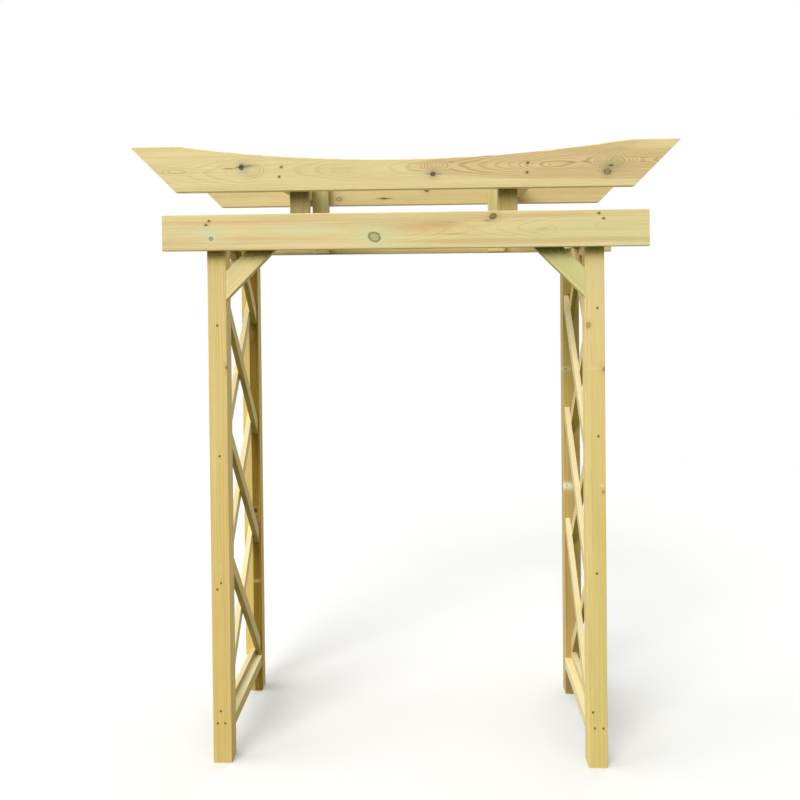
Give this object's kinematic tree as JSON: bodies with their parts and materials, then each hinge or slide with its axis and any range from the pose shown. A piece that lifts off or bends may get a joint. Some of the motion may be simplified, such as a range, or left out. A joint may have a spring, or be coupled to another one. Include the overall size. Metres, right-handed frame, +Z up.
{
  "type": "wooden garden arch",
  "caption": "Free-standing timber walk-through arch: square posts, lattice side panels, paired lower beams, paired dished upper beams with undercut ends, and front knee braces.",
  "frame": {"origin": "on the ground, midway between the four posts", "axes": "+Z up, -Y towards the front, where the knee braces are, +X to the right seen from the front"},
  "size_m": [1.932, 0.688, 2.22],
  "materials": {
    "post_timber": "planed, pressure-treated softwood, unpainted",
    "beam_timber": "planed, pressure-treated softwood, unpainted, with knots",
    "frame_timber": "planed, pressure-treated softwood, unpainted",
    "lattice_timber": "planed, pressure-treated softwood battens, unpainted"
  },
  "bodies": {
    "root": {"front_left_post": "post_timber", "front_left_strut": "frame_timber", "front_lower_beam": "beam_timber", "front_right_post": "post_timber", "front_right_strut": "frame_timber", "front_upper_beam": "beam_timber", "left_bottom_rail": "frame_timber", "left_bottom_strip": "lattice_timber", "left_inner_batten_1": "lattice_timber", "left_inner_batten_2": "lattice_timber", "left_inner_batten_3": "lattice_timber", "left_inner_batten_4": "lattice_timber", "left_knee_brace": "frame_timber", "left_outer_batten_1": "lattice_timber", "left_outer_batten_2": "lattice_timber", "left_outer_batten_3": "lattice_timber", "left_outer_batten_4": "lattice_timber", "left_spreader": "frame_timber", "left_top_rail": "frame_timber", "left_top_strip": "lattice_timber", "rear_left_post": "post_timber", "rear_left_strut": "frame_timber", "rear_lower_beam": "beam_timber", "rear_right_post": "post_timber", "rear_right_strut": "frame_timber", "rear_upper_beam": "beam_timber", "right_bottom_rail": "frame_timber", "right_bottom_strip": "lattice_timber", "right_inner_batten_1": "lattice_timber", "right_inner_batten_2": "lattice_timber", "right_inner_batten_3": "lattice_timber", "right_inner_batten_4": "lattice_timber", "right_knee_brace": "frame_timber", "right_outer_batten_1": "lattice_timber", "right_outer_batten_2": "lattice_timber", "right_outer_batten_3": "lattice_timber", "right_outer_batten_4": "lattice_timber", "right_spreader": "frame_timber", "right_top_rail": "frame_timber", "right_top_strip": "lattice_timber"}
  },
  "joints": []
}
